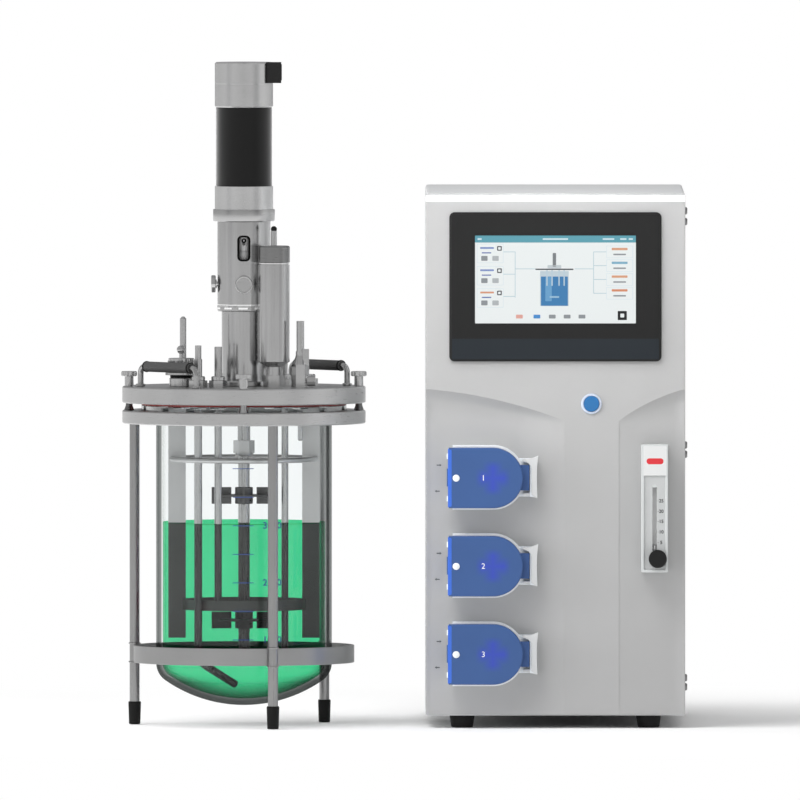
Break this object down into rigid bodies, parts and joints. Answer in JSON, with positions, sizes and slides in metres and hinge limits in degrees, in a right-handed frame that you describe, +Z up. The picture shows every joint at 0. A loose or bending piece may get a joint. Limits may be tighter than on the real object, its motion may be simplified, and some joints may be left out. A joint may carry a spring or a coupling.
{
  "type": "bench bioreactor",
  "caption": "Glass culture vessel in a steel stand with stirrer drive and head-plate fittings, beside a control cabinet with touch screen, peristaltic pumps and gas flowmeter.",
  "frame": {"origin": "bottom centre of the whole object's bounding box, on the bench", "axes": "+Z up; the front faces -Y; the vessel stands at -X and the cabinet at +X"},
  "size_m": [0.5346, 0.452, 0.6267],
  "materials": {
    "borosilicate_glass": "clear, polished",
    "silicone_red": "smooth silicone",
    "stainless_satin": "satin, turned and brushed",
    "stainless_rod": "polished bar",
    "stainless_turned": "fine turned",
    "rubber_black": "matt",
    "rubber_grey": "matt sleeve",
    "aluminium_cap": "fine turned",
    "motor_black": "satin black",
    "plastic_black": "fine texture",
    "bearing_steel": "ground",
    "cabinet_paint": "fine powder coat, light grey",
    "bezel_black": "fine texture",
    "screen_face": "glossy screen",
    "button_blue": "satin blue",
    "plastic_white": "moulded white",
    "cover_blue": "translucent blue",
    "flowmeter_plastic": "moulded, light grey",
    "float_black": "glossy",
    "zinc_steel": "zinc plated sheet",
    "board_green": "solder mask"
  },
  "bodies": {
    "stand": {"glass_vessel": "borosilicate_glass", "head_gasket": "silicone_red", "head_plate": "stainless_satin", "support_ring": "stainless_satin", "legs": "stainless_rod", "brace_band": "stainless_satin", "leg_caps": "rubber_black", "clamp_studs": "stainless_rod", "handles": "stainless_rod", "handle_grips": "rubber_grey", "motor_cap": "aluminium_cap", "motor_case": "motor_black", "motor_base": "aluminium_cap", "motor_connector": "plastic_black", "drive_tube": "stainless_satin", "bearing_housing": "stainless_satin", "shaft_bearings": "bearing_steel", "condenser": "stainless_satin", "condenser_plug": "rubber_black", "baffle_cage": "stainless_satin", "sparger": "stainless_rod", "harvest_tube": "stainless_rod", "thermowell": "stainless_rod", "foam_probe": "stainless_turned", "port_nuts": "stainless_turned", "sampler": "stainless_turned", "cabinet_shell": "cabinet_paint", "front_panel": "cabinet_paint", "rear_panel": "cabinet_paint", "cabinet_feet": "rubber_black", "panel_hardware": "stainless_turned", "screen_bezel": "bezel_black", "screen_glass": "screen_face", "button_bezel": "stainless_turned", "pump_housings": "plastic_white", "pump_motors": "motor_black", "flowmeter_body": "flowmeter_plastic", "power_supply": "zinc_steel", "control_board": "board_green", "power_inlet": "plastic_black"},
    "stirrer": {"drive_coupling": "aluminium_cap", "stirrer_shaft": "stainless_rod", "shaft_collar": "stainless_turned", "impellers": "stainless_turned"},
    "front_clamp_knob": {"clamp_knob_front": "stainless_turned"},
    "right_clamp_knob": {"clamp_knob_right": "stainless_turned"},
    "rear_clamp_knob": {"clamp_knob_rear": "stainless_turned"},
    "left_clamp_knob": {"clamp_knob_left": "stainless_turned"},
    "front_lock_knob": {"lock_knob_front": "stainless_turned"},
    "side_lock_knob": {"lock_knob_side": "stainless_turned"},
    "cover_1": {"pump_cover_1": "cover_blue"},
    "cover_2": {"pump_cover_2": "cover_blue"},
    "cover_3": {"pump_cover_3": "cover_blue"},
    "rotor_1": {"pump_rotor_1": "plastic_white"},
    "rotor_2": {"pump_rotor_2": "plastic_white"},
    "rotor_3": {"pump_rotor_3": "plastic_white"},
    "button": {"power_button": "button_blue"},
    "float": {"flowmeter_float": "float_black"},
    "flow_knob": {"flowmeter_knob": "plastic_black"},
    "rocker": {"mains_switch": "plastic_black"}
  },
  "joints": [
    {"name": "stirrer_spin", "type": "hinge", "parent": "stand", "child": "stirrer", "pos_m": [-0.15125, -0.11, 0.25], "axis": [0, 0, 1], "continuous": true},
    {"name": "front_clamp_turn", "type": "hinge", "parent": "stand", "child": "front_clamp_knob", "pos_m": [-0.15125, -0.2185, 0.325], "axis": [0, 0, 1], "range_deg": [0, 720]},
    {"name": "right_clamp_turn", "type": "hinge", "parent": "stand", "child": "right_clamp_knob", "pos_m": [-0.04275, -0.11, 0.325], "axis": [0, 0, 1], "range_deg": [0, 720]},
    {"name": "rear_clamp_turn", "type": "hinge", "parent": "stand", "child": "rear_clamp_knob", "pos_m": [-0.15125, -0.0015, 0.325], "axis": [0, 0, 1], "range_deg": [0, 720]},
    {"name": "left_clamp_turn", "type": "hinge", "parent": "stand", "child": "left_clamp_knob", "pos_m": [-0.25975, -0.11, 0.325], "axis": [0, 0, 1], "range_deg": [0, 720]},
    {"name": "front_lock_turn", "type": "hinge", "parent": "stand", "child": "front_lock_knob", "pos_m": [-0.15125, -0.138, 0.417], "axis": [0, -1, 0], "range_deg": [0, 720]},
    {"name": "side_lock_turn", "type": "hinge", "parent": "stand", "child": "side_lock_knob", "pos_m": [-0.17925, -0.11, 0.417], "axis": [-1, 0, 0], "range_deg": [0, 720]},
    {"name": "cover_1_swing", "type": "hinge", "parent": "stand", "child": "cover_1", "pos_m": [0.04325, -0.1882, 0.2364], "axis": [0, 0, -1], "range_deg": [0, 110]},
    {"name": "cover_2_swing", "type": "hinge", "parent": "stand", "child": "cover_2", "pos_m": [0.04325, -0.1882, 0.1532], "axis": [0, 0, -1], "range_deg": [0, 110]},
    {"name": "cover_3_swing", "type": "hinge", "parent": "stand", "child": "cover_3", "pos_m": [0.04325, -0.1882, 0.07], "axis": [0, 0, -1], "range_deg": [0, 110]},
    {"name": "rotor_1_spin", "type": "hinge", "parent": "stand", "child": "rotor_1", "pos_m": [0.08375, -0.185, 0.2364], "axis": [0, 1, 0], "continuous": true},
    {"name": "rotor_2_spin", "type": "hinge", "parent": "stand", "child": "rotor_2", "pos_m": [0.08375, -0.185, 0.1532], "axis": [0, 1, 0], "continuous": true},
    {"name": "rotor_3_spin", "type": "hinge", "parent": "stand", "child": "rotor_3", "pos_m": [0.08375, -0.185, 0.07], "axis": [0, 1, 0], "continuous": true},
    {"name": "power_button_press", "type": "slide", "parent": "stand", "child": "button", "axis": [0, 1, 0], "range_m": [0, 0.002], "stiffness_N_per_m": 400, "springref_m": -0.002},
    {"name": "float_rise", "type": "slide", "parent": "stand", "child": "float", "axis": [0, 0, 1], "range_m": [0, 0.052]},
    {"name": "flow_knob_turn", "type": "hinge", "parent": "stand", "child": "flow_knob", "pos_m": [0.23915, -0.203, 0.16025], "axis": [0, -1, 0], "range_deg": [0, 1080]},
    {"name": "mains_rocker_tilt", "type": "hinge", "parent": "stand", "child": "rocker", "pos_m": [0.22075, 0.209, 0.102], "axis": [-1, 0, 0], "range_deg": [0, 20]}
  ]
}
